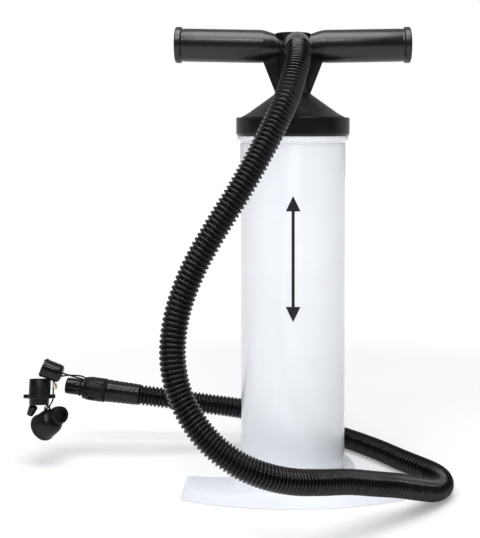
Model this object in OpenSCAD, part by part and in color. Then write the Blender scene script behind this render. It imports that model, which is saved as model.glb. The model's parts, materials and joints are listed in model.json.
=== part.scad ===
// Double action hand pump. A white barrel stands on a winged foot plate. A T handle on a hollow
// piston rod drives the piston, and air leaves through the rod, the hub and a corrugated hose.
// Millimetres, +Z up. The origin is on the barrel's axis at the floor; the user's side is -Y.

/* [Foot] */
// Width of the foot across its two wings
foot_w = 222; // [212:1:236]
// Distance from the barrel's axis to the middle of the curved front edge
foot_front = 83; // [80:1:88]
// Radius of the curved front edge
foot_arc_r = 290; // [270:5:320]
// Distance from the barrel's axis forward to the straight back edge of the wings
wing_back = 28; // [24:1:34]
// Height of the foot at its wing tips
foot_h = 14.6; // [14:0.1:15.4]
// Radius of the round part of the foot
foot_disc_r = 67; // [64:1:70]

/* [Barrel] */
// Outside radius of the barrel
barrel_r = 54; // [51:0.5:54]
// Wall of the barrel
barrel_wall = 2.4; // [2:0.1:3]
// Height of the barrel's white top lip, where the cap begins
lip_z = 358; // [350:1:358]

/* [Cap] */
// Outside radius of the glossy cap band
band_r = 58.2; // [57.8:0.1:60]
// Height of the cap band's flat top
band_top = 377; // [375:0.5:379]
// Height of the cone's tip, where the handle comes to rest
cone_top = 401.5; // [396:0.5:403]

/* [Handle] */
// Length of the handle over both grips
handle_w = 240; // [230:1:260]
// Height of the grips' axis with the handle down
grip_z = 449; // [447:0.5:453]
// Radius of a grip
grip_r = 16.8; // [15.5:0.1:18]
// Radius of the flange at a grip's outer end
flange_r = 18.4; // [18.2:0.1:20]
// How far a grip's axis rises towards its outer end, in degrees
grip_rise = 1; // [0:0.1:1.5]

/* [Rod and piston] */
// Outside radius of the hollow piston rod
rod_r = 12; // [11.5:0.1:13]
// Radius of the air passage inside the rod
rod_bore_r = 9.6; // [9:0.1:9.8]
// Stroke of the piston
stroke = 300; // [240:5:300]

/* [Hose] */
// Outside radius of the corrugated hose
hose_r = 11; // [10:0.1:11]
// How far the hub's port points to the right of straight ahead, in degrees
port_turn = 4; // [0:0.5:6]
// Radius of the collar that clamps the hose at the hub
collar_r = 12.8; // [12:0.1:13]

/* [Connector] */
// Rise of the connector's axis towards its tip, in degrees
connector_rise = 7.5; // [6:0.5:9]
// Outside radius of the tip that plugs into a valve or an adapter
tip_r = 8.9; // [8.5:0.1:9.1]
// Length of the tip
tip_len = 22; // [20:0.5:24]

/* [Hidden] */
$fn = 96;
fit = 0.05;           // radial clearance of a running fit
gap = 0.3;            // clearance between neighbours that don't touch

barrel_in_r = barrel_r - barrel_wall;

// Foot
foot_gap = 0.8;       // the foot plate's rim above the floor
floor_z = 8;          // the ledge inside the foot that carries the barrel
floor_low = 3.5;      // the underside of that ledge
vent_r = barrel_in_r - 11.6;          // the opening below the bottom plate
socket_r = barrel_r + 0.1;
wing_lean = 4;        // the wing tips lean out this much from top to bottom
edge_lean = 1.2;      // and the front and back edges this much
corner_r = 5;
scoop_r = 220;        // the hollow in the top of each wing
scoop_x = 78;
scoop_depth = 3.4;
screw_pcd_r = barrel_in_r - 5.6;
screw_r = 1.9;
screw_head_r = 3.6;
screw_angles = [0, 90, 180, 270];

// Barrel and bottom plate
rim_z = lip_z + 8;    // the barrel's top rim, inside the cap band
lip_r = barrel_r + 3;
plate_r = barrel_in_r - 0.1;
plate_top = 13;
seal_groove_z = 10.5;
seal_minor = 1.2;
port_ring_r = 20;
stud_r = 3;
stud_head_r = 5;
stud_top = 18;
valve_t = 1.5;
valve_lift = 1.5;
valve_r = 30;

// Cap
cover_t = 3;          // the plate that closes the barrel's top
gasket_t = 2;
ledge_z = rim_z + cover_t + gasket_t;
seat_r = barrel_r - 3.5;
cone_r = barrel_r - 0.3;
cone_tip_r = 18.5;
neck_r = 16 + fit;
seal_r = 15;
hanger_r = 20;        // the collar below the cover plate that guides the upper valve
hanger_z = rim_z - 12;
top_vent_r = 34;
top_valve_r = barrel_in_r - 9.6;
retainer_z = rim_z - 5.5;
flange_z = rim_z + cover_t + 1.2;

// Rod and piston, handle down
piston_z = 22;
piston_h = 18;
piston_r = barrel_in_r - 0.6;
groove_r = barrel_in_r - 5.6;
groove_z = piston_z + 5;
groove_h = 7;
chamber_z = piston_z + 3;
rod_z = piston_z + 9;
bumper_z = piston_z + piston_h;
bumper_h = min(12, hanger_z - stroke - bumper_z - 1);
side_port_z = 60;
sleeve_z = 54;
sleeve_h = 12;

// Handle and hub
hub_z = cone_top + 0.5;
boss_r = 17;
waist_r = 12.4;
waist_low = grip_z - 2;
waist_z = grip_z + 3;
lid_z = grip_z + 11.9;
lid_r = 18.2;
lid_h = 1.8;
rod_top = hub_z + 34;
port_z = grip_z - 3;
port_r = 7.5;
port_tube_r = 10;
web_t = 14;
web_top_x = 30.25;
web_foot_x = 18;
spigot_r = 10.5;
spigot_x = 96;
neck_x0 = 13.5;
neck_x1 = 34;
plug_t = 2.5;
pin_z = hub_z + 14;
pin_r = 2.5;

// Hose: the centre line from the collar to the connector's cuff
collar_start = 16;
collar_end = 45.4;
hose_route = [
  [3.2, -46, 446], [3.9, -56, 446], [4.4, -70, 443.2], [4.5, -90, 437], [3.5, -114, 425.5],
  [-0.5, -137, 409.5], [-6.5, -156, 390], [-17, -169, 367], [-29, -178, 343], [-45.5, -184, 313.5],
  [-65, -187, 282], [-83, -188, 249.5], [-96, -188, 215], [-101, -188, 180.5], [-97, -187, 148.5],
  [-83.5, -188, 120.5], [-67, -189, 100.5], [-46, -190, 85], [-24.5, -186, 74], [-0.5, -176, 65],
  [24, -160, 58], [49.5, -141, 51], [75.5, -122, 41.5], [97.5, -106, 33.5], [119, -88, 23.5],
  [136.5, -69, 14.2], [147, -54, 11.5], [150, -38, 11.3], [146, -22, 11.3], [135.5, -6, 11.3],
  [114, 22, 11.3], [97, 46, 11.3], [78, 69, 11.3], [56, 90, 12.3], [31, 104, 17], [2.5, 109, 24.5],
  [-27, 104, 34.3], [-62, 89, 45.5], [-99, 79, 54], [-135, 73, 61], [-171.5, 69, 67]
];
hose_sides = 10;
rings_per_span = 2;  // rings for each stretch between two points

// Connector: it follows the hose's last stretch
connector_at = hose_route[len(hose_route) - 1];
cuff_len = 38;
body_len = 21;
collar_len = 2;
connector_bore_r = 6;
body_z = cuff_len + collar_len;
ring_z = body_z + body_len + 0.15;
ring_t = 1.8;
tip_z = body_z + body_len;

// Adapters, which hang on thin tethers in front of the connector's tip, clear of its axis
cord_y = connector_at[1];
hang_y = cord_y - 30;
tether_r = 0.8;
loop_r = 11.3;        // inside radius of the loop in the connector's groove
cap_at = [-261.6, hang_y, 102.3];
cap_turn = [0, 112, 0];
cap_len = 22;
flanged_at = [-276, hang_y - 2.1, 65.6];
flanged_turn = [-14, 0, 0];
washer_at = [-258.9, hang_y + 0.2, 86];
washer_turn = [0, 66, 0];
bell_at = [-273.8, hang_y, 39.3];       // the middle of its mouth
bell_turn = [0, 54, -25];
bell_ear = [-266.8, hang_y - 3, 62.4];
tether_long_route = [
  [-209.3, 58.7, 80.7], [-212.4, 57.2, 82.7], [-218.6, 56.6, 84.3], [-225.4, 57.2, 86], [-231, 57.9, 87.4],
  [-241.4, 53, 92.1], [-251.2, 45.5, 97.8], [-254.8, 40.5, 100]
];
tether_short_route = [
  [-231.5, 66.4, 86.4], [-235, 64.6, 89.2], [-241, 60, 91.5], [-249, 53, 93.5], [-254.3, 44, 94.8],
  [-257.2, 38.5, 95.8]
];
tether_drop_route = [
  [-260.4, 38.8, 97], [-260.6, 39.2, 90], [-260.9, 39.2, 82], [-261, 39, 74], [-261.4, 37.6, 70],
  [-263, 34, 66.6], [-265.2, 31.6, 63.8], [-266.8, 32, 62.2], [-267, 34.6, 62], [-266.8, 38, 62.5]
];

// ---- Shapes that several pieces share ----

module ring(r_out, r_in, z0, z1) {
  translate([0, 0, z0]) difference() {
    cylinder(r = r_out, h = z1 - z0);
    translate([0, 0, -1]) cylinder(r = r_in, h = z1 - z0 + 2);
  }
}

module turned(points) {
  rotate_extrude() polygon(points);
}

module o_ring(r, minor, z) {
  translate([0, 0, z]) rotate_extrude() translate([r, 0]) circle(r = minor, $fn = 24);
}

// Copies on a circle of radius r at the given angles
module at_angles(angles, r) {
  for (a = angles) rotate([0, 0, a]) translate([r, 0, 0]) children();
}

function unit(v) = v / norm(v);
function catmull(p, i, t) =
  let (a = p[max(i - 1, 0)], b = p[i], c = p[i + 1], d = p[min(i + 2, len(p) - 1)])
  0.5 * (2 * b + (c - a) * t + (2 * a - 5 * b + 4 * c - d) * t * t + (3 * b - a - 3 * c + d) * t * t * t);
function smooth(p, n) =
  concat([for (i = [0 : len(p) - 2]) for (k = [0 : n - 1]) catmull(p, i, k / n)], [p[len(p) - 1]]);
function tangents(q) =
  [for (i = [0 : len(q) - 1]) unit(q[min(i + 1, len(q) - 1)] - q[max(i - 1, 0)])];
// Carries the first normal along the line, so that the tube's rings don't twist
function carried(t, n) =
  len(n) == len(t) ? n :
  let (a = n[len(n) - 1], b = t[len(n)])
  carried(t, concat(n, [unit(a - b * (a * b))]));

// A closed tube of radius r along a route, with n rings for each stretch between two points
module tube(route, r, sides, n) {
  q = smooth(route, n);
  t = tangents(q);
  up = abs(t[0][2]) < 0.8 ? [0, 0, 1] : [1, 0, 0];
  normals = carried(t, [unit(up - t[0] * (up * t[0]))]);
  last = (len(q) - 1) * sides;
  polyhedron(
    points = [for (i = [0 : len(q) - 1]) let (b = cross(t[i], normals[i]))
      for (k = [0 : sides - 1]) q[i] + r * (cos(360 * k / sides) * normals[i] + sin(360 * k / sides) * b)],
    faces = concat(
      [[for (k = [0 : sides - 1]) k]],
      [[for (k = [0 : sides - 1]) last + sides - 1 - k]],
      [for (i = [0 : len(q) - 2]) for (k = [0 : sides - 1])
        [i * sides + k, (i + 1) * sides + k, (i + 1) * sides + (k + 1) % sides]],
      [for (i = [0 : len(q) - 2]) for (k = [0 : sides - 1])
        [i * sides + k, (i + 1) * sides + (k + 1) % sides, i * sides + (k + 1) % sides]]
    )
  );
}

// ---- Foot ----

// Both wings seen from above, drawn in by end_in at the tips and by edge_in at the long edges
module wing_outline(end_in, edge_in) {
  half = foot_w / 2 - end_in;
  arc_r = foot_arc_r - edge_in;
  arc_y = foot_arc_r - foot_front;
  back_y = -wing_back - edge_in;
  sweep = asin(half / arc_r);
  steps = 24;
  front = [
    for (i = [0 : steps]) let (a = sweep * (2 * i / steps - 1)) [arc_r * sin(a), arc_y - arc_r * cos(a)]
  ];
  offset(r = corner_r, $fn = 32) offset(delta = -corner_r)
    polygon(concat(front, [[half, back_y], [-half, back_y]]));
}

module foot_plate() {
  color("white") difference() {
    union() {
      hull() {
        translate([0, 0, foot_gap]) linear_extrude(1) wing_outline(0, 0);
        translate([0, 0, foot_h - 2]) linear_extrude(0.5) wing_outline(wing_lean * 0.85, edge_lean);
        translate([0, 0, foot_h - 0.5]) linear_extrude(0.5) wing_outline(wing_lean + 1.2, edge_lean + 1.2);
      }
      translate([0, 0, foot_gap]) cylinder(r1 = foot_disc_r, r2 = foot_disc_r - 2, h = foot_h - foot_gap - 2);
    }
    for (side = [-1, 1])
      translate([side * scoop_x, 0, foot_h - scoop_depth + scoop_r]) rotate([90, 0, 0])
        cylinder(r = scoop_r, h = 4 * foot_front, center = true, $fn = 180);
    translate([0, 0, floor_z]) cylinder(r = socket_r, h = foot_h);
    translate([0, 0, -1]) cylinder(r = vent_r, h = foot_h);
    translate([0, 0, -1]) cylinder(r = foot_disc_r - 6, h = floor_low + 1);
    translate([0, 0, -1]) linear_extrude(floor_low + 1) wing_outline(8, 7);
    translate([-8, foot_disc_r - 10, -1]) cube([16, 20, floor_low + 1]);
    at_angles(screw_angles, screw_pcd_r) {
      cylinder(r = screw_r + 0.2, h = foot_h);
      translate([0, 0, floor_low - 1]) cylinder(r1 = screw_head_r + 1.2, r2 = screw_r + 0.2, h = 2.9);
    }
  }
}

// Rubber pads under the front edge, the wing tips and the back of the round part
module foot_pads() {
  color([0.12, 0.12, 0.13]) {
    translate([-38, 12 - foot_front, 0]) cube([76, 6, floor_low]);
    for (side = [-1, 1]) {
      translate([side * (foot_w / 2 - 22) - 12, -wing_back - 22, 0]) cube([24, 12, floor_low]);
      rotate([0, 0, 90 + side * 40]) translate([foot_disc_r - 16, 0, 0]) cylinder(r = 7, h = floor_low);
    }
  }
}

module foot_screws() {
  color("silver") at_angles(screw_angles, screw_pcd_r)
    turned([[0, floor_low], [screw_head_r, floor_low], [screw_r, floor_low + 1.8], [screw_r, plate_top + 2],
      [0, plate_top + 2]]);
}

// ---- Barrel ----

module barrel_tube() {
  color("white") difference() {
    turned([
      [barrel_in_r, floor_z], [barrel_r, floor_z], [barrel_r, lip_z - 7.8], [barrel_r - 0.5, lip_z - 7.4],
      [barrel_r - 0.5, lip_z - 6.8], [barrel_r, lip_z - 6.4], [barrel_r + 0.4, lip_z - 5.4],
      [lip_r - 0.6, lip_z - 4.2], [lip_r, lip_z - 3.2], [lip_r, lip_z], [barrel_r, lip_z],
      [barrel_r, rim_z], [barrel_in_r, rim_z]
    ]);
    // The mark that the mould's gate leaves low on the front
    rotate([0, 0, -72.7]) translate([barrel_r + 2.4, 0, 50]) sphere(r = 3, $fn = 32);
  }
}

module bottom_plate() {
  color([0.85, 0.86, 0.88]) difference() {
    union() {
      translate([0, 0, floor_z]) cylinder(r = plate_r, h = plate_top - floor_z);
      at_angles(screw_angles, screw_pcd_r) translate([0, 0, plate_top - 1]) cylinder(r = 4.2, h = 5);
    }
    difference() {
      translate([0, 0, seal_groove_z - seal_minor - 0.1]) cylinder(r = plate_r + 1, h = 2 * seal_minor + 0.2);
      cylinder(r = plate_r - 2.3, h = plate_top);
    }
    at_angles(screw_angles, screw_pcd_r) translate([0, 0, floor_z - 1])
      cylinder(r = screw_r + 0.05, h = plate_top + 3.2 - floor_z);
    at_angles([22.5 : 45 : 337.5], port_ring_r) cylinder(r = 3.2, h = 2 * plate_top);
    cylinder(r = stud_r + 0.05, h = 2 * plate_top);
  }
}

module bottom_o_ring() {
  color([0.1, 0.1, 0.1]) o_ring(plate_r - seal_minor - 0.02, seal_minor, seal_groove_z);
}

// A loose flap ring that lifts off the ports on the up stroke
module intake_valve() {
  color([0.15, 0.15, 0.16])
    ring(valve_r, stud_r + 0.06, plate_top + 0.05, plate_top + 0.05 + valve_t);
}

module valve_stud() {
  head_z = plate_top + 0.1 + valve_t + valve_lift;
  color("silver") turned([
    [0, floor_z - 1], [stud_head_r, floor_z - 1], [stud_head_r, floor_z - 0.05], [stud_r, floor_z - 0.05],
    [stud_r, head_z], [stud_head_r, head_z], [stud_head_r, head_z + 1], [0, head_z + 1.6]
  ]);
}

// ---- Cap ----

module cap_band() {
  color([0.06, 0.06, 0.07]) turned([
    [barrel_r + gap, lip_z + 0.2], [band_r - 1.2, lip_z + 0.2], [band_r, lip_z + 1.6],
    [band_r + 0.1, band_top - 0.8], [band_r - 0.7, band_top], [seat_r, band_top],
    [seat_r, ledge_z], [barrel_r + gap, ledge_z]
  ]);
}

module cap_cone() {
  neck_low = flange_z + 3.1;
  color([0.1, 0.1, 0.11]) difference() {
    turned([
      [cone_tip_r, cone_top], [cone_tip_r + 1, cone_top - 1.2], [cone_r - 9, band_top + 5.2],
      [cone_r - 3, band_top + 1.6], [cone_r, band_top + 0.1], [seat_r - 0.2, band_top + 0.1],
      [seat_r - 0.2, ledge_z + 2], [seat_r - 3.2, ledge_z + 2], [seat_r - 3.2, band_top],
      [cone_tip_r + 2, cone_top - 5], [cone_tip_r + 1, neck_low], [neck_r, neck_low], [neck_r, cone_top]
    ]);
    // Air inlets, at the back of the cone
    at_angles([50 : 20 : 130], cone_r - 14) translate([0, 0, ledge_z]) cylinder(r = 2.5, h = 40);
  }
}

// Closes the barrel; its lower collar carries the rod seal and guides the upper intake valve
module cap_plate() {
  color([0.16, 0.16, 0.17]) difference() {
    union() {
      translate([0, 0, rim_z]) cylinder(r = barrel_r + 0.1, h = cover_t);
      translate([0, 0, hanger_z]) cylinder(r = hanger_r, h = rim_z + cover_t - hanger_z);
    }
    translate([0, 0, hanger_z + 2]) cylinder(r = seal_r, h = rim_z);
    translate([0, 0, hanger_z - 1]) cylinder(r = rod_r + 0.5, h = rim_z);
    at_angles([0 : 60 : 300], top_vent_r - 4) cylinder(r = 3.2, h = 2 * rim_z);
  }
}

module cap_gasket() {
  color([0.1, 0.1, 0.1]) ring(barrel_r + 0.1, seat_r + 0.6, rim_z + cover_t, ledge_z);
}

module rod_seal() {
  color([0.1, 0.1, 0.1]) turned([
    [rod_r + fit, hanger_z + 3], [rod_r + 1, hanger_z + 2.05], [seal_r - 0.05, hanger_z + 2.05],
    [seal_r - 0.05, rim_z + cover_t - 1], [rod_r + 1, rim_z + cover_t - 1], [rod_r + fit, rim_z + cover_t - 2]
  ]);
}

// A flap ring under the cover plate that opens downwards on the down stroke
module top_intake_valve() {
  color([0.15, 0.15, 0.16])
    ring(top_valve_r, hanger_r + 0.08, rim_z - 0.1 - valve_t, rim_z - 0.1);
}

module top_valve_retainer() {
  color([0.3, 0.3, 0.32]) ring(hanger_r + 7, hanger_r + 0.05, retainer_z, retainer_z + 1.5);
}

// The bush that the rod slides through; it turns with the rod inside the cap's neck
module guide_bush() {
  color([0.75, 0.75, 0.7]) turned([
    [rod_r + fit, flange_z], [neck_r + 3.4, flange_z], [neck_r + 3.4, flange_z + 2.8],
    [neck_r - fit, flange_z + 2.8], [neck_r - fit, cone_top - 1], [rod_r + fit, cone_top - 1]
  ]);
}

// ---- Rod and piston ----

module piston_rod() {
  color("silver") difference() {
    ring(rod_r, rod_bore_r, rod_z, rod_top);
    translate([0, 0, side_port_z]) rotate([90, 0, 0]) cylinder(r = 3, h = 4 * rod_r, center = true);
    translate([0, 0, pin_z]) rotate([0, 90, 0]) cylinder(r = pin_r + 0.05, h = 4 * rod_r, center = true);
  }
}

module piston_head() {
  color([0.2, 0.22, 0.25]) difference() {
    translate([0, 0, piston_z]) cylinder(r = piston_r, h = piston_h);
    difference() {
      translate([0, 0, groove_z]) cylinder(r = piston_r + 1, h = groove_h);
      cylinder(r = groove_r, h = piston_z + piston_h);
    }
    translate([0, 0, piston_z - 1]) cylinder(r = 16, h = chamber_z - piston_z + 1.1);
    translate([0, 0, chamber_z]) cylinder(r = rod_bore_r, h = 4);
    translate([0, 0, chamber_z]) cylinder(r = rod_bore_r - 2, h = piston_h);
    translate([0, 0, rod_z]) cylinder(r = rod_r + 0.05, h = piston_h);
  }
}

// The screwed-in seat of the piston's outlet valve
module piston_base() {
  color([0.3, 0.32, 0.35]) ring(15.9, 5, piston_z, chamber_z);
}

module piston_seal() {
  z0 = groove_z + 0.2;
  z1 = groove_z + groove_h - 0.2;
  color([0.1, 0.1, 0.1]) turned([
    [groove_r + 0.1, z0], [barrel_in_r - fit, z0], [barrel_in_r - 1, (z0 + z1) / 2],
    [barrel_in_r - fit, z1], [groove_r + 0.1, z1]
  ]);
}

// A loose disc that lifts to let air from below the piston into the rod
module outlet_valve() {
  color([0.55, 0.2, 0.15]) translate([0, 0, chamber_z + 0.15]) cylinder(r = rod_bore_r - 1, h = 1.8);
}

// A rubber sleeve inside the rod that covers its side ports
module sleeve_valve() {
  color([0.15, 0.15, 0.16]) ring(rod_bore_r - 0.05, rod_bore_r - 1.4, sleeve_z, sleeve_z + sleeve_h);
}

module stop_bumper() {
  color([0.1, 0.1, 0.1]) ring(hanger_r - 1, rod_r + 0.05, bumper_z, bumper_z + bumper_h);
}

// ---- Handle ----

// Turns +Z into a grip's axis, which rises a little towards its outer end
module on_grip_axis(side) {
  translate([0, 0, grip_z]) mirror([side < 0 ? 1 : 0, 0, 0]) rotate([0, 90 - grip_rise, 0]) children();
}

// Outline of a grip from its neck beside the hub to the flange at its outer end, grown by more
module grip_envelope(more) {
  turned([
    [0, neck_x0 - more], [11.9 + more, neck_x0 - more], [12.3 + more, 16], [13.1 + more, 19],
    [14.3 + more, 22.5], [15.5 + more, 26.5], [16.4 + more, 30], [grip_r + more, neck_x1],
    [grip_r + more, handle_w / 2 - 6.4],
    [grip_r - 0.5 + more, handle_w / 2 - 6.2], [grip_r - 0.5 + more, handle_w / 2 - 5.7],
    [flange_r - 0.5 + more, handle_w / 2 - 5.5], [flange_r + more, handle_w / 2 - 5],
    [flange_r + more, handle_w / 2 - 1], [flange_r - 1 + more, handle_w / 2], [0, handle_w / 2]
  ]);
}

// Turns +Z into the port's axis, at this distance from the rod's axis
module on_port(distance) {
  rotate([0, 0, port_turn]) translate([0, -distance, port_z]) rotate([90, 0, 0]) children();
}

// The hub's round post, which flares under its lid, grown by more
module hub_post(more) {
  turned([
    [0, hub_z], [boss_r + more, hub_z], [boss_r + more, grip_z - 9], [waist_r + more, waist_low],
    [waist_r + more, waist_z], [lid_r - 0.6 + more, lid_z], [0, lid_z]
  ]);
}

module handle_hub() {
  color([0.09, 0.09, 0.1]) difference() {
    union() {
      hub_post(0);
      difference() {
        translate([0, web_t / 2, 0]) rotate([90, 0, 0]) linear_extrude(web_t) polygon([
          [-web_foot_x, hub_z], [web_foot_x, hub_z], [web_top_x, grip_z - grip_r + 1], [20, grip_z],
          [-20, grip_z], [-web_top_x, grip_z - grip_r + 1]
        ]);
        for (side = [-1, 1]) on_grip_axis(side) grip_envelope(0.2);
      }
      for (side = [-1, 1]) on_grip_axis(side) cylinder(r = spigot_r, h = spigot_x);
      on_port(0) cylinder(r = port_tube_r, h = collar_end - 2);
    }
    translate([0, 0, hub_z - 1]) cylinder(r = rod_r + 0.05, h = rod_top - hub_z + 1.2);
    translate([0, 0, hub_z]) cylinder(r = rod_bore_r, h = lid_z);
    on_port(0) cylinder(r = port_r, h = 2 * collar_end);
    for (side = [-1, 1]) on_grip_axis(side) translate([0, 0, neck_x0 + 3]) cylinder(r = 7.5, h = spigot_x);
    translate([0, 0, pin_z]) rotate([0, 90, 0]) cylinder(r = pin_r + 0.05, h = 4 * boss_r, center = true);
  }
}

// The flared cap on top of the hub
module hub_lid() {
  color([0.09, 0.09, 0.1]) turned([
    [0, lid_z - 5], [rod_bore_r - 0.1, lid_z - 5], [rod_bore_r - 0.1, lid_z + 0.05],
    [lid_r - 0.6, lid_z + 0.05], [lid_r, lid_z + 0.6], [lid_r, lid_z + lid_h - 0.5],
    [lid_r - 0.5, lid_z + lid_h], [0, lid_z + lid_h]
  ]);
}

// Locks the rod into the hub
module rod_pin() {
  color("silver") translate([0, 0, pin_z]) rotate([0, 90, 0]) cylinder(r = pin_r, h = 43, center = true);
}

// What the hub and its lid take out of a grip's neck, in the frame of the grip's axis
module neck_cope(side) {
  rotate([0, grip_rise - 90, 0]) mirror([side < 0 ? 1 : 0, 0, 0]) translate([0, 0, -grip_z]) {
    hub_post(0.15);
    translate([0, 0, lid_z - 0.1]) cylinder(r = lid_r + 0.15, h = 4 * lid_h);
  }
}

module grip(side) {
  color([0.11, 0.11, 0.12]) on_grip_axis(side) difference() {
    grip_envelope(0);
    translate([0, 0, -1]) cylinder(r = spigot_r + 0.05, h = handle_w);
    translate([0, 0, handle_w / 2 - plug_t]) cylinder(r = grip_r - 2, h = 2 * plug_t);
    neck_cope(side);
  }
}

module grip_plug(side) {
  end = handle_w / 2;
  color([0.09, 0.09, 0.1]) on_grip_axis(side) turned([
    [0, spigot_x + 1], [spigot_r, spigot_x + 1], [spigot_r, end - plug_t + 0.05],
    [grip_r - 2.05, end - plug_t + 0.05], [grip_r - 2.05, end - 0.6], [grip_r - 2.6, end], [0, end]
  ]);
}

module hose_collar() {
  len = collar_end - collar_start;
  color([0.08, 0.08, 0.09]) difference() {
    on_port(collar_start) turned([
      [port_tube_r + 0.05, 0], [collar_r - 1, 0], [collar_r, 1], [collar_r, len - 1.5],
      [collar_r - 1.5, len], [port_tube_r + 0.05, len]
    ]);
    hub_post(0.05);
  }
}

// ---- Hose and connector ----

module corrugated_hose() {
  color([0.07, 0.07, 0.08]) tube(hose_route, hose_r, hose_sides, rings_per_span);
}

// Turns +Z into the connector's axis, from the hose's end towards the tip
module on_connector() {
  translate(connector_at) rotate([0, connector_rise - 90, 0]) children();
}

module hose_end_cuff() {
  color([0.08, 0.08, 0.09]) on_connector() turned([
    [0, 0], [hose_r, 0], [hose_r + 0.4, 1.5], [hose_r + 1.2, cuff_len - 6], [hose_r + 1.2, cuff_len],
    [connector_bore_r, cuff_len], [connector_bore_r, 8], [0, 8]
  ]);
}

module connector_body() {
  color([0.07, 0.07, 0.08]) on_connector() difference() {
    turned([
      [connector_bore_r, cuff_len + 0.05], [loop_r - 0.1, cuff_len + 0.05], [loop_r - 0.1, body_z],
      [hose_r + 1.5, body_z], [hose_r + 1.9, body_z + 1], [hose_r + 1.9, body_z + body_len - 5],
      [hose_r + 1, body_z + body_len - 0.05], [connector_bore_r, body_z + body_len - 0.05]
    ]);
    // Two finger notches low on the front
    for (step = [0, 1])
      translate([0, 0, body_z + body_len - 6 - 4.5 * step]) rotate([0, 0, 35]) rotate([0, 90, 0])
        translate([0, 0, hose_r - 1]) cylinder(r = 1.7, h = 6, $fn = 32);
  }
}

module connector_tip() {
  groove = tip_z + 4.4;
  color([0.07, 0.07, 0.08]) on_connector() turned([
    [connector_bore_r, tip_z], [tip_r, tip_z], [tip_r, groove], [tip_r - 1, groove],
    [tip_r - 1, groove + 2.2], [tip_r, groove + 2.2], [tip_r, tip_z + tip_len - 0.8],
    [tip_r - 0.8, tip_z + tip_len],
    [connector_bore_r, tip_z + tip_len]
  ]);
}

module tip_o_ring() {
  color([0.1, 0.1, 0.1]) on_connector() o_ring(tip_r - 0.02, 0.95, tip_z + 5.5);
}

// ---- Tethers and adapters ----

// Turns freely on the tip and carries the tethers
module tether_ring() {
  color([0.08, 0.08, 0.09]) on_connector() ring(tip_r + 2.8, tip_r + fit, ring_z, ring_z + ring_t);
}

// Lies in the groove between the cuff and the connector's body and holds the long tether
module tether_loop() {
  color([0.06, 0.06, 0.06]) on_connector() ring(loop_r + 1.6, loop_r, cuff_len + 0.3, body_z - 0.2);
}

module tether_long() {
  color([0.05, 0.05, 0.05]) tube(tether_long_route, tether_r, 8, 2);
}

module tether_short() {
  color([0.05, 0.05, 0.05]) tube(tether_short_route, tether_r, 8, 2);
}

module tether_drop() {
  color([0.05, 0.05, 0.05]) tube(tether_drop_route, tether_r, 8, 2);
}

// A closed cap with two lugs at its open end
module cap_adapter() {
  half = cap_len / 2;
  color([0.08, 0.08, 0.09]) translate(cap_at) rotate(cap_turn) difference() {
    union() {
      turned([
        [0, -half], [9.6, -half], [10.2, 0.6 - half], [10.2, 2.4 - half], [9.7, 3 - half], [9.7, half - 3.6],
        [9.1, half - 1.6], [7.8, half - 0.4], [6.4, half], [0, half]
      ]);
      for (side = [-1, 1]) translate([side * 6.4, 0, -half - 0.9]) rotate([90, 0, 0])
        cylinder(r = 1.7, h = 3, center = true, $fn = 24);
    }
    translate([0, 0, -half - 5]) cylinder(r = 7.8, h = 19);
  }
}

// The adapter that fits the tip: its flange has an ear with a hole at either side
module flanged_adapter() {
  color([0.13, 0.13, 0.15]) translate(flanged_at) rotate(flanged_turn) difference() {
    union() {
      turned([
        [0, 0], [9.8, 0], [10.4, 0.6], [10.4, 6.4], [12, 6.6], [12.4, 7.2], [12.4, 10.4], [12, 11],
        [11.4, 11.2], [11.4, 26.8], [10.8, 27.6], [0, 27.6]
      ]);
      for (side = [-1, 1]) translate([side * 14.4, 0, 7]) cylinder(r = 2.9, h = 3.8);
      translate([-2.8, -10.5, 19]) rotate([90, 0, -14]) cylinder(r = 1.5, h = 1.6, $fn = 24);
    }
    translate([0, 0, 8]) cylinder(r = tip_r + 0.1, h = 30);
    translate([0, 0, -1]) cylinder(r = 4.6, h = 30);
    for (side = [-1, 1]) translate([side * 14.8, 0, 0]) cylinder(r = 1.5, h = 20);
  }
}

// A tapered nozzle that is pushed into the flanged adapter's far end
module adapter_nozzle() {
  color([0.09, 0.09, 0.1]) translate(flanged_at + [-5, 0, -0.2]) rotate([0, 206, 0]) turned([
    [1.8, 1.6], [4.4, 1.6], [4.7, 3], [3.7, 11], [3.1, 12.4], [1.8, 12.4]
  ]);
}

// A pale gasket threaded on the drop tether
module adapter_washer() {
  color([0.8, 0.72, 0.55]) translate(washer_at) rotate(washer_turn) o_ring(3, 1.2, 0);
}

// The wide cup of the bell adapter, from its mouth at z = 0, drawn in by wall
module bell_cup(wall) {
  turned([
    [0, 0], [14.9 - wall, 0], [15.2 - wall, 0.6], [15.2 - wall, 2.4], [14.5 - wall, 3.2], [14.3 - wall, 12],
    [13.5 - wall, 17], [11.8 - wall, 20.4 - wall], [8 - wall, 22.2 - wall], [0, 22.6 - wall]
  ]);
}

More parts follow.
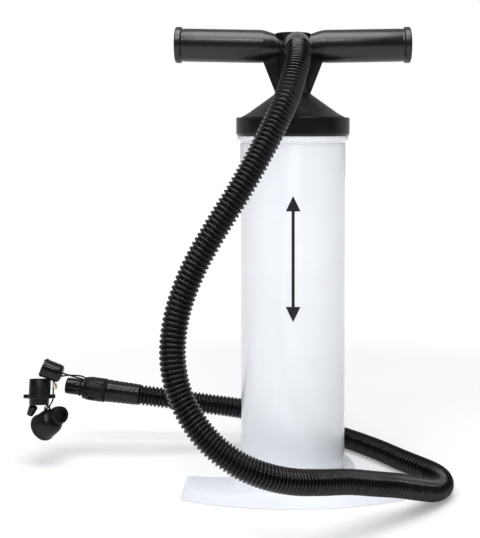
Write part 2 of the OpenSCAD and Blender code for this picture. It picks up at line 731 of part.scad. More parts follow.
// A wide cup with a round socket on its back, which hangs by an ear
module bell_adapter() {
  color([0.13, 0.13, 0.15]) difference() {
    union() {
      translate(bell_at) rotate(bell_turn) bell_cup(0);
      translate([-253, 31, 56]) rotate([0, 78, -50]) turned([
        [0, -7], [8.6, -7], [9.3, -4], [9.3, 3.6], [8.6, 4.6], [0, 4.6]
      ]);
      hull() {
        translate(bell_ear + [0, 1.2, 0]) rotate([90, 0, 0]) cylinder(r = 3, h = 2.4, $fn = 32);
        translate(bell_ear + [0.5, 1.2, -9]) rotate([90, 0, 0]) cylinder(r = 5, h = 2.4, $fn = 32);
      }
    }
    translate(bell_ear) rotate([90, 0, 0]) cylinder(r = 1.9, h = 10, center = true);
    translate([-253, 31, 56]) rotate([0, 78, -50]) cylinder(r = 6.6, h = 6);
    translate(bell_at) rotate(bell_turn) bell_cup(1.7);
    translate(bell_at) rotate(bell_turn) translate([0, 0, -1]) cylinder(r = 13.2, h = 2);
  }
}

foot_plate();
foot_pads();
foot_screws();
barrel_tube();
bottom_plate();
bottom_o_ring();
intake_valve();
valve_stud();
cap_band();
cap_cone();
cap_plate();
cap_gasket();
rod_seal();
top_intake_valve();
top_valve_retainer();
guide_bush();
piston_rod();
piston_head();
piston_base();
piston_seal();
outlet_valve();
sleeve_valve();
stop_bumper();
handle_hub();
hub_lid();
rod_pin();
grip(-1);  // grip_left
grip(1);  // grip_right
grip_plug(-1);  // grip_plug_left
grip_plug(1);  // grip_plug_right
hose_collar();
corrugated_hose();
hose_end_cuff();
connector_body();
connector_tip();
tip_o_ring();
tether_ring();
tether_loop();
tether_long();
tether_short();
tether_drop();
cap_adapter();
flanged_adapter();
adapter_nozzle();
adapter_washer();
bell_adapter();
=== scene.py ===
"""The looks of a double action hand pump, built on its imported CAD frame. Metres, +Z up, user's side -Y."""
import math
import json
import bpy
import bmesh
import numpy as np
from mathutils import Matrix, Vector


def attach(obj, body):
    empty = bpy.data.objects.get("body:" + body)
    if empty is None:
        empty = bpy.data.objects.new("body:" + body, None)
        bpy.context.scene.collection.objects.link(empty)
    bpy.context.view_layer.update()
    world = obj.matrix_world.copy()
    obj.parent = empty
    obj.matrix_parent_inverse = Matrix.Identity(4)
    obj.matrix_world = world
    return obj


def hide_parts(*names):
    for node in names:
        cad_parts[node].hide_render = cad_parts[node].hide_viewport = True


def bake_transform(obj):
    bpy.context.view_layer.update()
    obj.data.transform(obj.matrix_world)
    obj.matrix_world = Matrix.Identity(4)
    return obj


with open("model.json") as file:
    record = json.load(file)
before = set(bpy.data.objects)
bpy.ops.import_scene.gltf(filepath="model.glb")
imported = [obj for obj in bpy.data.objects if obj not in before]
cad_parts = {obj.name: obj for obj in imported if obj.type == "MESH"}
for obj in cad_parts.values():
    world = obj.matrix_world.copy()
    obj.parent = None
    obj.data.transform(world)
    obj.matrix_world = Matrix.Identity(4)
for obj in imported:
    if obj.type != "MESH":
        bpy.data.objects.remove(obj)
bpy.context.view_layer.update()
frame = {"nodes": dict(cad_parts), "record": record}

MM = 0.001

# ---- The route of the hose and the tethers, in millimetres, as the CAD model has it ----

HOSE_ROUTE = [
    (3.2, -46, 446), (3.9, -56, 446), (4.4, -70, 443.2), (4.5, -90, 437), (3.5, -114, 425.5),
    (-0.5, -137, 409.5), (-6.5, -156, 390), (-17, -169, 367), (-29, -178, 343), (-45.5, -184, 313.5),
    (-65, -187, 282), (-83, -188, 249.5), (-96, -188, 215), (-101, -188, 180.5), (-97, -187, 148.5),
    (-83.5, -188, 120.5), (-67, -189, 100.5), (-46, -190, 85), (-24.5, -186, 74), (-0.5, -176, 65),
    (24, -160, 58), (49.5, -141, 51), (75.5, -122, 41.5), (97.5, -106, 33.5), (119, -88, 23.5),
    (136.5, -69, 14.2), (147, -54, 11.5), (150, -38, 11.3), (146, -22, 11.3), (135.5, -6, 11.3),
    (114, 22, 11.3), (97, 46, 11.3), (78, 69, 11.3), (56, 90, 12.3), (31, 104, 17), (2.5, 109, 24.5),
    (-27, 104, 34.3), (-62, 89, 45.5), (-99, 79, 54), (-135, 73, 61), (-171.5, 69, 67),
]
TETHER_LONG = [
    (-209.3, 58.7, 80.7), (-212.4, 57.2, 82.7), (-218.6, 56.6, 84.3), (-225.4, 57.2, 86),
    (-231, 57.9, 87.4), (-241.4, 53, 92.1), (-251.2, 45.5, 97.8), (-254.8, 40.5, 100),
]
TETHER_SHORT = [
    (-231.5, 66.4, 86.4), (-235, 64.6, 89.2), (-241, 60, 91.5), (-249, 53, 93.5), (-254.3, 44, 94.8),
    (-257.2, 38.5, 95.8),
]
TETHER_DROP = [
    (-260.4, 38.8, 97), (-260.6, 39.2, 90), (-260.9, 39.2, 82), (-261, 39, 74), (-261.4, 37.6, 70),
    (-263, 34, 66.6), (-265.2, 31.6, 63.8), (-266.8, 32, 62.2), (-267, 34.6, 62), (-266.8, 38, 62.5),
]
HOSE_END = np.array(HOSE_ROUTE[-1]) * MM
TETHER_D = 0.0016

SPAN_SAMPLES = 40                      # points worked out between two points of a route
SHARP_ANGLE = math.radians(38)         # edges above this stay sharp in the shading
BEVEL_ANGLE = math.radians(40)         # CAD edges above this are rounded
FLAT_ANGLE = math.radians(0.6)         # CAD faces within this of each other become one


# ---- Lines and meshes ----

def smooth_line(points, step):
    """Points on the Catmull-Rom curve through the given points, evenly spaced, as an array in metres."""
    p = np.array(points, float) * MM
    line = []
    for i in range(len(p) - 1):
        a, b, c, d = p[max(i - 1, 0)], p[i], p[i + 1], p[min(i + 2, len(p) - 1)]
        for t in np.linspace(0, 1, SPAN_SAMPLES, endpoint=False):
            line.append(0.5 * (2 * b + (c - a) * t + (2 * a - 5 * b + 4 * c - d) * t**2
                               + (3 * b - a - 3 * c + d) * t**3))
    line = np.array(line + [p[-1]])
    along = np.concatenate([[0], np.cumsum(np.linalg.norm(np.diff(line, axis=0), axis=1))])
    places = np.linspace(0, along[-1], max(2, int(round(along[-1] / step)) + 1))
    return np.column_stack([np.interp(places, along, line[:, k]) for k in range(3)]), places


def carried_frames(line):
    """The tangent, normal and binormal at each point, carried along the line without twist."""
    tangents = np.gradient(line, axis=0)
    tangents /= np.linalg.norm(tangents, axis=1)[:, None]
    normal = np.cross(tangents[0], (1, 0, 0))
    normals = []
    for t in tangents:
        normal = normal - t * (normal @ t)
        normal /= np.linalg.norm(normal)
        normals.append(normal)
    normals = np.array(normals)
    return tangents, normals, np.cross(tangents, normals)


def mesh_piece(name, verts, faces):
    mesh = bpy.data.meshes.new(name)
    mesh.from_pydata([tuple(v) for v in verts], [], faces)
    mesh.validate()
    mesh.update()
    for polygon in mesh.polygons:
        polygon.use_smooth = True
    piece = bpy.data.objects.new(name, mesh)
    bpy.context.scene.collection.objects.link(piece)
    return piece


def grid_faces(rings, sides):
    """Quads between successive rings of the same number of points, and a face over each end."""
    faces = [(i * sides + k, i * sides + (k + 1) % sides,
              (i + 1) * sides + (k + 1) % sides, (i + 1) * sides + k)
             for i in range(rings - 1) for k in range(sides)]
    last = (rings - 1) * sides
    return faces + [tuple(range(sides - 1, -1, -1)), tuple(range(last, last + sides))]


def tube_piece(name, points, radius, sides=12, step=0.0008):
    """A plain tube along a route."""
    line, _ = smooth_line(points, step)
    _, n, b = carried_frames(line)
    angles = np.arange(sides) * 2 * math.pi / sides
    verts = [c + radius * (math.cos(a) * n[i] + math.sin(a) * b[i])
             for i, c in enumerate(line) for a in angles]
    return mesh_piece(name, verts, grid_faces(len(line), sides)), line


def filleted(points, arc_points=5):
    """An outline whose corners are rounded. Each point is (x, y) or (x, y, radius)."""
    corners = [Vector(p[:2]) for p in points]
    radii = [p[2] if len(p) > 2 else 0 for p in points]
    outline = []
    for i, corner in enumerate(corners):
        before, after = corners[i - 1] - corner, corners[(i + 1) % len(corners)] - corner
        turn = math.pi - before.angle(after, math.pi)
        if radii[i] <= 0 or turn < 0.02:
            outline.append(corner)
            continue
        reach = min(radii[i] * math.tan(turn / 2), 0.48 * before.length, 0.48 * after.length)
        start, end = corner + before.normalized() * reach, corner + after.normalized() * reach
        for t in np.linspace(0, 1, arc_points):
            outline.append(start * (1 - t) ** 2 + corner * 2 * t * (1 - t) + end * t**2)
    return [(p.x, p.y) for p in outline]


def lathe(name, outline, place=None, segments=160):
    """A closed solid of revolution. outline is the cross-section's (radius, height) loop in millimetres;
    place takes a local point in metres, as an array, to the row frame."""
    verts, faces, rings = [], [], len(outline)
    for k in range(segments):
        a = 2 * math.pi * k / segments
        verts += [(r * MM * math.cos(a), r * MM * math.sin(a), z * MM) for r, z in outline]
    for k in range(segments):
        j = (k + 1) % segments
        for i in range(rings):
            m = (i + 1) % rings
            if outline[i][0] > 1e-6 or outline[m][0] > 1e-6:
                faces.append((k * rings + i, j * rings + i, j * rings + m, k * rings + m))
    verts = np.array(verts)
    if place is not None:
        verts = place(verts)
    return tidied(mesh_piece(name, verts, faces))


def tidied(piece):
    """Merges doubled points, turns the faces outwards and keeps sharp edges sharp."""
    work = bmesh.new()
    work.from_mesh(piece.data)
    bmesh.ops.remove_doubles(work, verts=work.verts, dist=1e-7)
    bmesh.ops.recalc_face_normals(work, faces=work.faces)
    for edge in work.edges:
        if len(edge.link_faces) == 2 and edge.calc_face_angle(0) > SHARP_ANGLE:
            edge.smooth = False
    work.to_mesh(piece.data)
    work.free()
    return piece


def settled(piece):
    """Makes a piece's modifiers part of its mesh."""
    mesh = bpy.data.meshes.new_from_object(piece.evaluated_get(bpy.context.evaluated_depsgraph_get()))
    piece.modifiers.clear()
    piece.data = mesh
    mesh.materials.clear()
    for polygon in mesh.polygons:
        polygon.use_smooth = True
    return piece


def eased(name, node, width):
    """A copy of a CAD node whose sharp edges are rounded by width, in millimetres."""
    piece = bpy.data.objects.new(name, frame["nodes"][node].data.copy())
    piece.matrix_world = frame["nodes"][node].matrix_world
    bpy.context.scene.collection.objects.link(piece)
    work = bmesh.new()
    work.from_mesh(piece.data)
    bmesh.ops.remove_doubles(work, verts=work.verts, dist=1e-6)
    bmesh.ops.dissolve_limit(work, angle_limit=FLAT_ANGLE, verts=work.verts, edges=work.edges)
    work.to_mesh(piece.data)
    work.free()
    bevel = piece.modifiers.new("bevel", "BEVEL")
    bevel.width = width * MM
    bevel.segments = 3
    bevel.limit_method = "ANGLE"
    bevel.angle_limit = BEVEL_ANGLE
    bevel.harden_normals = True
    return tidied(settled(piece))


def cut_away(piece, *cutters):
    """Takes the cutters out of a piece and removes them."""
    for cutter in cutters:
        taken = piece.modifiers.new("cut", "BOOLEAN")
        taken.operation = "DIFFERENCE"
        taken.solver = "EXACT"
        taken.object = cutter
        settled(piece)
        bpy.data.objects.remove(cutter)
    return tidied(piece)


# ---- Materials ----

def shader(name, color, roughness, specular=0.5, coat=0.0, metallic=0.0, ior=1.5):
    """A Principled material with the numbers that are the same all over its surface."""
    material = bpy.data.materials.new(name)
    material.use_nodes = True
    nodes = material.node_tree.nodes
    principled = nodes["Principled BSDF"]
    principled.inputs["Base Color"].default_value = (*color, 1)
    principled.inputs["Roughness"].default_value = roughness
    principled.inputs["Specular IOR Level"].default_value = specular
    principled.inputs["Coat Weight"].default_value = coat
    principled.inputs["Coat Roughness"].default_value = 0.08
    principled.inputs["Metallic"].default_value = metallic
    principled.inputs["IOR"].default_value = ior
    return material, nodes, material.node_tree.links, principled


def noise(nodes, links, scale, detail=3.0, rough=0.5, stretch=None):
    """A noise over the object's own coordinates, which are the row frame in metres."""
    place = nodes.new("ShaderNodeTexCoord")
    texture = nodes.new("ShaderNodeTexNoise")
    texture.inputs["Scale"].default_value = scale
    texture.inputs["Detail"].default_value = detail
    texture.inputs["Roughness"].default_value = rough
    if stretch is None:
        links.new(place.outputs["Object"], texture.inputs["Vector"])
    else:
        mapping = nodes.new("ShaderNodeMapping")
        mapping.inputs["Scale"].default_value = stretch
        links.new(place.outputs["Object"], mapping.inputs["Vector"])
        links.new(mapping.outputs["Vector"], texture.inputs["Vector"])
    return texture.outputs["Fac"]


def ranged(nodes, links, value, low, high, from_low=0.3, from_high=0.7):
    spread = nodes.new("ShaderNodeMapRange")
    spread.inputs["From Min"].default_value = from_low
    spread.inputs["From Max"].default_value = from_high
    spread.inputs["To Min"].default_value = low
    spread.inputs["To Max"].default_value = high
    links.new(value, spread.inputs["Value"])
    return spread.outputs["Result"]


def tinted(nodes, links, value, dark, light):
    """A colour between dark and light, following value."""
    ramp = nodes.new("ShaderNodeValToRGB")
    ramp.color_ramp.elements[0].position = 0.35
    ramp.color_ramp.elements[0].color = (*dark, 1)
    ramp.color_ramp.elements[1].position = 0.65
    ramp.color_ramp.elements[1].color = (*light, 1)
    links.new(value, ramp.inputs["Fac"])
    return ramp.outputs["Color"]


def bumped(nodes, links, principled, value, strength, distance):
    bump = nodes.new("ShaderNodeBump")
    bump.inputs["Strength"].default_value = strength
    bump.inputs["Distance"].default_value = distance
    links.new(value, bump.inputs["Height"])
    links.new(bump.outputs["Normal"], principled.inputs["Normal"])


def moulded_plastic(name, dark, light, rough, grain_scale, grain, specular=0.5, coat=0.0):
    """Moulded plastic: a colour that drifts slightly, uneven gloss and a fine surface grain."""
    material, nodes, links, principled = shader(name, light, rough[0], specular, coat)
    drift = noise(nodes, links, 14, 4)
    links.new(tinted(nodes, links, drift, dark, light), principled.inputs["Base Color"])
    sheen = noise(nodes, links, 60, 5, 0.6)
    links.new(ranged(nodes, links, sheen, *rough), principled.inputs["Roughness"])
    bumped(nodes, links, principled, noise(nodes, links, grain_scale, 2, 0.5), *grain)
    return material


def rubber(name, dark, light, rough=(0.55, 0.75)):
    return moulded_plastic(name, dark, light, rough, 1800, (0.12, 0.0002), specular=0.35)


def brushed(name, color, rough, stretch):
    """Metal with fine marks along one direction."""
    material, nodes, links, principled = shader(name, color, rough[0], metallic=1.0)
    marks = noise(nodes, links, 220, 4, 0.6, stretch)
    links.new(ranged(nodes, links, marks, *rough), principled.inputs["Roughness"])
    links.new(tinted(nodes, links, marks, [c * 0.88 for c in color], color), principled.inputs["Base Color"])
    bumped(nodes, links, principled, marks, 0.08, 0.0001)
    return material


def pale_gasket(name):
    """Translucent silicone."""
    material, nodes, links, principled = shader(name, (0.74, 0.66, 0.5), 0.35)
    principled.inputs["Subsurface Weight"].default_value = 0.6
    principled.inputs["Subsurface Radius"].default_value = (0.004, 0.003, 0.002)
    principled.inputs["Subsurface Scale"].default_value = 1.0
    cloud = noise(nodes, links, 300, 3)
    clouded = tinted(nodes, links, cloud, (0.66, 0.57, 0.4), (0.8, 0.73, 0.58))
    links.new(clouded, principled.inputs["Base Color"])
    bumped(nodes, links, principled, cloud, 0.1, 0.0002)
    return material


WHITE_BARREL = moulded_plastic("white_barrel", (0.79, 0.8, 0.825), (0.82, 0.83, 0.855), (0.16, 0.24),
                               260, (0.02, 0.0003), coat=0.25)
WHITE_FOOT = moulded_plastic("white_foot", (0.78, 0.79, 0.82), (0.82, 0.83, 0.86), (0.36, 0.46),
                             1500, (0.08, 0.0002))
BLACK_GLOSS = moulded_plastic("black_gloss", (0.008, 0.008, 0.009), (0.014, 0.014, 0.016), (0.14, 0.24),
                              300, (0.02, 0.0003), specular=0.4)
BLACK_SATIN = moulded_plastic("black_satin", (0.006, 0.006, 0.007), (0.011, 0.011, 0.013), (0.3, 0.42),
                              1400, (0.12, 0.0002), specular=0.35)
BLACK_GRIP = moulded_plastic("black_grip", (0.005, 0.005, 0.006), (0.01, 0.01, 0.011), (0.27, 0.35),
                             1500, (0.1, 0.0002), specular=0.75)
BLACK_HOSE = moulded_plastic("black_hose", (0.003, 0.003, 0.004), (0.005, 0.005, 0.007), (0.16, 0.24),
                             500, (0.05, 0.0002), specular=0.5)
BLACK_RUBBER = rubber("black_rubber", (0.012, 0.012, 0.012), (0.022, 0.022, 0.022))
BLACK_CORD = rubber("black_cord", (0.008, 0.008, 0.008), (0.016, 0.016, 0.016), (0.4, 0.6))
VALVE_RUBBER = rubber("valve_rubber", (0.16, 0.055, 0.045), (0.26, 0.09, 0.07))
GREY_PLASTIC = moulded_plastic("grey_plastic", (0.13, 0.13, 0.14), (0.19, 0.19, 0.2), (0.4, 0.55),
                               1200, (0.1, 0.0002))
BUSH_PLASTIC = moulded_plastic("bush_plastic", (0.62, 0.61, 0.56), (0.72, 0.71, 0.66), (0.35, 0.5),
                               1200, (0.08, 0.0002))
ALUMINIUM = brushed("aluminium_rod", (0.78, 0.78, 0.8), (0.22, 0.38), (1, 1, 0.04))
STEEL = brushed("steel", (0.6, 0.6, 0.62), (0.28, 0.42), (1, 1, 1))
PALE_GASKET = pale_gasket("pale_gasket")
BLACK_INK = moulded_plastic("black_ink", (0.012, 0.012, 0.013), (0.018, 0.018, 0.02), (0.4, 0.5),
                            900, (0.05, 0.0001))

SLOT_MATERIALS = {
    "white_barrel": WHITE_BARREL, "white_foot": WHITE_FOOT, "black_gloss": BLACK_GLOSS,
    "black_satin": BLACK_SATIN, "black_grip": BLACK_GRIP, "black_hose": BLACK_HOSE,
    "black_rubber": BLACK_RUBBER, "valve_rubber": VALVE_RUBBER, "grey_plastic": GREY_PLASTIC,
    "bush_plastic": BUSH_PLASTIC, "aluminium_rod": ALUMINIUM, "steel": STEEL,
    "black_cord": BLACK_CORD, "pale_gasket": PALE_GASKET,
}


def finished(piece, material, body, slot, *replaced):
    """Gives a piece its material, the body it rides on and the CAD nodes it stands for."""
    piece.data.materials.clear()
    piece.data.materials.append(material)
    if body:
        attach(piece, body)
    if replaced:
        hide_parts(*replaced)
    return piece


for entry in frame["record"]["subparts"]:
    cad = frame["nodes"][entry["node"]]
    for place in cad.material_slots:
        place.material = SLOT_MATERIALS[entry["material_slot"]]


# ---- Camera: nearly level with the cap's band ----

CAMERA_AT = (-0.0044, -0.9274, 0.3648)
CAMERA_PITCH = math.radians(3.065)

camera_data = bpy.data.cameras.new("camera")
camera_data.sensor_width = 36
camera_data.lens = 60.2
camera_data.shift_x = -0.0904
camera_data.shift_y = -0.17
camera = bpy.data.objects.new("camera", camera_data)
camera.location = CAMERA_AT
camera.rotation_euler = (math.radians(90) - CAMERA_PITCH, 0, 0)
bpy.context.scene.collection.objects.link(camera)
bpy.context.scene.camera = camera


# ---- Hose ----

RIDGE_R = 11.3
VALLEY_R = 8.7
CUFF_R = 12.7
CUFF_END = 40            # where the smooth cuff at the hub gives way to the ridges
CUFF_FADE = 1.5          # how far the change takes
CUFF_TAPER = 8           # the stretch before it over which the cuff narrows by CUFF_NARROWS
CUFF_NARROWS = 0.5
RIDGE_FULLNESS = 0.55    # below 1, ridges are broader than valleys
HOSE_STEP = 0.0005       # between the rings of the hose's mesh, in metres
HOSE_SIDES = 28
# Ridge spacing along the hose: stretched where it hangs, packed where it is pressed together at the front
PITCH_AT = [(0, 4.0), (120, 4.3), (185, 4.0), (335, 4.4), (400, 4.4), (440, 4.0), (490, 3.4), (560, 3.6),
            (640, 4.0), (760, 4.4), (1160, 4.3)]


def hose_radius(along, phase):
    """The hose's radius in millimetres: a smooth cuff, then rounded ridges with narrower valleys."""
    wave = 0.5 - 0.5 * np.cos(2 * math.pi * phase)
    ridged = VALLEY_R + (RIDGE_R - VALLEY_R) * wave ** RIDGE_FULLNESS
    t = np.clip((along - CUFF_END) / CUFF_FADE, 0, 1)
    cuff = CUFF_R - CUFF_NARROWS * np.clip((along - CUFF_END + CUFF_TAPER) / CUFF_TAPER, 0, 1)
    return cuff * (1 - t) + ridged * t


def make_hose():
    line, along = smooth_line(HOSE_ROUTE, HOSE_STEP)
    places, pitches = zip(*PITCH_AT)
    steps = np.diff(along, prepend=0) / MM / np.interp(along / MM, places, pitches)
    radii = hose_radius(along / MM, np.cumsum(steps)) * MM
    _, n, b = carried_frames(line)
    angles = np.arange(HOSE_SIDES) * 2 * math.pi / HOSE_SIDES
    spokes = np.cos(angles)[None, :, None] * n[:, None, :] + np.sin(angles)[None, :, None] * b[:, None, :]
    verts = (line[:, None, :] + radii[:, None, None] * spokes).reshape(-1, 3)
    hose = mesh_piece("hose", verts, grid_faces(len(line), HOSE_SIDES))
    return hose, line, along[-1]


hose, hose_line, hose_length = make_hose()
finished(hose, BLACK_HOSE, None, "black_hose", "corrugated_hose")
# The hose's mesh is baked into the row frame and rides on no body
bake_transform(hose)


# ---- Tethers ----

def make_tether(name, node, route):
    piece, line = tube_piece(name, route, TETHER_D / 2)
    finished(piece, BLACK_CORD, "adapters", "black_cord", node)


make_tether("tether_long_cord", "tether_long", TETHER_LONG)
make_tether("tether_short_cord", "tether_short", TETHER_SHORT)
make_tether("tether_drop_cord", "tether_drop", TETHER_DROP)


# ---- Barrel ----

BARREL_OUTLINE = [
    (51.6, 8), (54, 8), (54, 350), (53.5, 350.6, 0.3), (53.5, 351.2, 0.3), (54.1, 351.7, 0.4),
    (54.5, 352.6, 0.8), (56.5, 353.6, 0.8), (57, 354.8, 0.6), (57, 358, 0.4), (54, 358), (54, 366),
    (51.6, 366),
]

finished(lathe("barrel_shell", filleted(BARREL_OUTLINE)), WHITE_BARREL, "barrel", "white_barrel",
         "barrel_tube")


# ---- A plain double-headed arrow, printed up the barrel's front where a label would be ----

ARROW_MID = 238
ARROW_HALF = 62
HEAD_LEN = 15
HEAD_HALF = 7
HEAD_EDGE = 0.4          # how high the head is at its two corners
HEAD_COLUMNS = 13
SHAFT_HALF = 1.5
INK_OUT = 54.12
INK_IN = 53.8


def printed(name, columns):
    """A thin plate on the barrel's front. columns are (sideways, lowest, highest) in millimetres."""
    verts = []
    for across, low, high in columns:
        a = across / INK_OUT
        verts += [(r * math.sin(a) * MM, -r * math.cos(a) * MM, z * MM) for r in (INK_OUT, INK_IN)
                  for z in (low, high)]
    faces = [(0, 1, 3, 2)]
    for i in range(len(columns) - 1):
        p, q = 4 * i, 4 * i + 4
        faces += [(p, q, q + 1, p + 1), (p + 2, p + 3, q + 3, q + 2), (p + 1, q + 1, q + 3, p + 3),
                  (p, p + 2, q + 2, q)]
    last = 4 * (len(columns) - 1)
    faces.append((last, last + 2, last + 3, last + 1))
    return finished(tidied(mesh_piece(name, verts, faces)), BLACK_INK, "barrel", "black_satin")


shaft_end = ARROW_HALF - HEAD_LEN
head = [(x, shaft_end, shaft_end + HEAD_EDGE + (HEAD_LEN - HEAD_EDGE) * (1 - abs(x) / HEAD_HALF))
        for x in np.linspace(-HEAD_HALF, HEAD_HALF, HEAD_COLUMNS)]
printed("arrow_up", [(x, ARROW_MID + low, ARROW_MID + high) for x, low, high in head])
printed("arrow_down", [(x, ARROW_MID - high, ARROW_MID - low) for x, low, high in head])
printed("arrow_shaft", [(x, ARROW_MID - shaft_end, ARROW_MID + shaft_end)
                        for x in (-SHAFT_HALF, 0, SHAFT_HALF)])


# ---- Band and cone ----

BAND_OUTLINE = [
    (54.3, 358.2), (57.3, 358.2, 0.8), (58.2, 360.2, 0.8), (58.3, 376.9, 1.2), (50.5, 376.9, 0.3),
    (50.5, 371), (54.3, 371),
]
CONE_OUTLINE = [
    (16.1, 401.5, 0.4), (18.5, 401.5, 0.8), (19.6, 400.2, 1.5), (44.7, 382.2, 8), (50.4, 378.7, 1.5),
    (53.6, 377.3, 0.3), (50.3, 377.1), (50.3, 373), (47.3, 373), (47.3, 377), (20.5, 396.5), (19.5, 373.3),
    (16.1, 373.3),
]
VENT_ANGLES = (50, 70, 90, 110, 130)
VENT_OUT = 39.7
VENT_R = 2.5
VENT_LOW = 378.5
VENT_HIGH = 392

finished(lathe("band_shell", filleted(BAND_OUTLINE)), BLACK_GLOSS, "barrel", "black_gloss", "cap_band")


def vent_cutter(angle):
    """A short upright rod through the cone's wall, which leaves a vent."""
    a = math.radians(angle)
    centre = np.array([VENT_OUT * math.cos(a), VENT_OUT * math.sin(a), 0]) * MM
    rod = [(0, VENT_LOW), (VENT_R, VENT_LOW), (VENT_R, VENT_HIGH), (0, VENT_HIGH)]
    return lathe("vent_cutter", rod, lambda v: v + centre, 32)


cone = cut_away(lathe("cone_shell", filleted(CONE_OUTLINE)), *[vent_cutter(a) for a in VENT_ANGLES])
finished(cone, BLACK_SATIN, "barrel", "black_satin", "cap_cone")


# ---- Foot ----

finished(eased("foot_shell", "foot_plate", 0.9), WHITE_FOOT, "barrel", "white_foot", "foot_plate")


# ---- Handle ----

GRIP_Z = 449
GRIP_RISE = math.radians(1)
LID_Z = GRIP_Z + 11.9
LID_OUTLINE = [
    (0, LID_Z - 5), (12, LID_Z - 5), (12, LID_Z + 0.05), (17.6, LID_Z + 0.05, 0.3), (18.2, LID_Z + 0.8, 0.4),
    (18.2, LID_Z + 1.4, 0.5), (17.4, LID_Z + 1.8, 0.5), (0, LID_Z + 1.8),
]
GRIP_OUTLINE = [
    (10.55, 13.5), (11.9, 13.5, 0.4), (12.3, 16, 3), (13.1, 19, 4), (14.3, 22.5, 4), (15.5, 26.5, 4),
    (16.4, 30, 4), (16.8, 34, 3), (16.8, 110.6), (16.5, 111.2, 0.3), (16.5, 112.8, 0.3), (17.0, 113.4, 0.5),
    (18.2, 114.1, 0.6), (18.4, 115.2, 0.6), (18.4, 118.9, 0.9), (17.4, 120, 0.7), (15.2, 120, 0.4),
    (14.8, 119.2, 0.2), (14.8, 117.6), (10.55, 117.6),
]
PLUG_OUTLINE = [
    (0, 97), (10.4, 97), (10.4, 117.7), (14.6, 117.7), (14.6, 119, 0.3), (13.8, 119.3, 0.3), (9, 119.1, 2),
    (0, 119),
]


def along_grip(side):
    """Turns a piece made along +Z into a grip's axis, which rises slightly towards its end."""
    def place(v):
        out = v[:, 2] * math.cos(GRIP_RISE) - v[:, 0] * math.sin(GRIP_RISE)
        up = v[:, 2] * math.sin(GRIP_RISE) + v[:, 0] * math.cos(GRIP_RISE)
        return np.column_stack([side * out, v[:, 1], up + GRIP_Z * MM])
    return place


for side, hand in ((-1, "left"), (1, "right")):
    grip = lathe("grip_shell_" + hand, filleted(GRIP_OUTLINE), along_grip(side))
    finished(grip, BLACK_GRIP, "handle", "black_grip", "grip_" + hand)
    plug = lathe("grip_end_" + hand, filleted(PLUG_OUTLINE), along_grip(side), 96)
    finished(plug, BLACK_SATIN, "handle", "black_satin", "grip_plug_" + hand)

finished(lathe("hub_cap", filleted(LID_OUTLINE)), BLACK_SATIN, "handle", "black_satin", "hub_lid")
finished(eased("hub_body", "handle_hub", 0.7), BLACK_SATIN, "handle", "black_satin", "handle_hub")

PORT_TURN = math.radians(4)
PORT_Z = GRIP_Z - 3
COLLAR_OUTLINE = [
    (10.05, 15.5), (12, 15.5, 0.5), (12.8, 18, 0.8), (12.8, 41.5, 0.5), (13.3, 42.2, 0.4), (13.3, 44.4, 0.6),
    (12.4, 45.3, 0.5), (10.05, 45.3),
]


def along_port(v):
    """Turns a piece made along +Z into the axis of the hub's port."""
    out = v[:, 2]
    return np.column_stack([v[:, 0] * math.cos(PORT_TURN) + out * math.sin(PORT_TURN),
                            v[:, 0] * math.sin(PORT_TURN) - out * math.cos(PORT_TURN), v[:, 1] + PORT_Z * MM])


finished(lathe("port_collar", filleted(COLLAR_OUTLINE), along_port), BLACK_GLOSS, "handle", "black_gloss",
         "hose_collar")


# ---- Connector at the hose's free end ----

RISE = math.radians(7.5)
CUFF_LEN = 38
WAVE_HIGH = 0.22
WAVE_LEN = 5.2
WAVE_POINTS = 42


def along_connector(v):
    """Turns a piece made along +Z into the connector's axis, starting where the hose ends."""
    back, up = v[:, 2], v[:, 0]
    return HOSE_END + np.column_stack([-back * math.cos(RISE) + up * math.sin(RISE), v[:, 1],
                                       back * math.sin(RISE) + up * math.cos(RISE)])


def cuff_outline():
    """The glossy cuff, whose screwed-on hose shows through as soft waves."""
    outer = [(10.6, 0.2), (11.1, 0.8)]
    outer += [(11.35 + 0.85 * z / CUFF_LEN + WAVE_HIGH * math.sin(2 * math.pi * z / WAVE_LEN), z)
              for z in np.linspace(2, CUFF_LEN - 5, WAVE_POINTS)]
    rim = [(12.25, CUFF_LEN - 3.5), (12.25, CUFF_LEN - 0.9), (11.7, CUFF_LEN - 0.1)]
    return outer + rim + [(6, CUFF_LEN - 0.1), (6, 8), (0, 8), (0, 0.2)]


BODY_OUTLINE = [
    (6, 38.05), (11.2, 38.05), (11.2, 40.05), (12.4, 40.05, 0.3), (12.9, 41, 0.5), (12.9, 55.6, 1.5),
    (12.1, 60.9, 0.6), (6, 60.9),
]
TIP_OUTLINE = [
    (6, 61), (8.9, 61), (8.9, 65.4, 0.2), (7.95, 65.4), (7.95, 67.6), (8.9, 67.6, 0.2), (8.9, 78, 3),
    (8.7, 82, 0.5), (8.1, 83, 0.6), (6.4, 83, 0.4), (6, 82.4),
]
LOOP_OUTLINE = [(11.3, 38.3), (12.9, 38.3, 0.7), (12.9, 39.9, 0.7), (11.3, 39.9)]
NOTCH_ANGLE = math.radians(-125)
NOTCH_PLACES = (50.5, 54.5)
NOTCH_OUT = 12.6
NOTCH_R = 1.9


def notch_cutter(place):
    """A small ball that leaves a round finger hollow in the connector's body."""
    ball = [(NOTCH_R * math.cos(a), NOTCH_R * math.sin(a))
            for a in np.linspace(-math.pi / 2, math.pi / 2, 13)]
    centre = np.array([NOTCH_OUT * math.cos(NOTCH_ANGLE), NOTCH_OUT * math.sin(NOTCH_ANGLE), place]) * MM
    return lathe("notch_cutter", ball, lambda v: along_connector(v + centre), 32)


